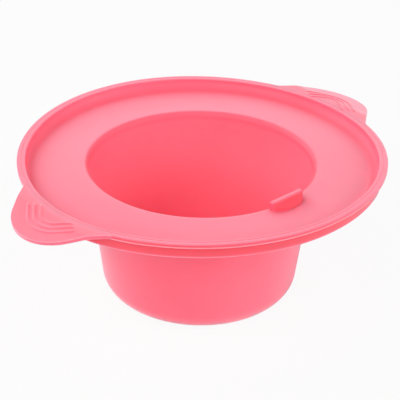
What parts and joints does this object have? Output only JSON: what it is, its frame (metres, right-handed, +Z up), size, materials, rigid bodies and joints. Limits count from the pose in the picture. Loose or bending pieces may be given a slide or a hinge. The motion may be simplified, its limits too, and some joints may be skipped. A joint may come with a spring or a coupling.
{
  "type": "wax warmer pot",
  "caption": "Soft moulded wax warmer pot: tapered round bowl under a wide drip flange with a raised rim, flexing grip ears and a scraper bar beside the opening.",
  "frame": {"origin": "centre of the flat base, on the surface the pot stands on", "axes": "+Z up along the bowl's axis, X along the line of the ears, scraper bar on the -Y side of the opening"},
  "size_m": [0.2046, 0.17, 0.0698],
  "materials": {
    "silicone": "matte satin moulded silicone, coral pink, dyed through"
  },
  "bodies": {
    "pot": {"bowl_floor": "silicone", "bowl_heel": "silicone", "bowl_wall": "silicone", "opening_lip": "silicone", "drip_deck": "silicone", "rim_wall": "silicone", "rim_ledge": "silicone", "scraper_bar": "silicone", "right_ear_web": "silicone", "left_ear_web": "silicone"},
    "right_ear": {"right_ear_tab": "silicone", "right_ear_ridges": "silicone"},
    "left_ear": {"left_ear_tab": "silicone", "left_ear_ridges": "silicone"}
  },
  "joints": [
    {"name": "right_ear_flex", "type": "hinge", "parent": "pot", "child": "right_ear", "pos_m": [0.0858, 0, 0.0685], "axis": [0, -1, 0], "range_deg": [-50, 70], "stiffness_Nm_per_rad": 0.008, "deforming": ["right_ear_web"]},
    {"name": "left_ear_flex", "type": "hinge", "parent": "pot", "child": "left_ear", "pos_m": [-0.0858, 0, 0.0685], "axis": [0, 1, 0], "range_deg": [-50, 70], "stiffness_Nm_per_rad": 0.008, "deforming": ["left_ear_web"]}
  ]
}
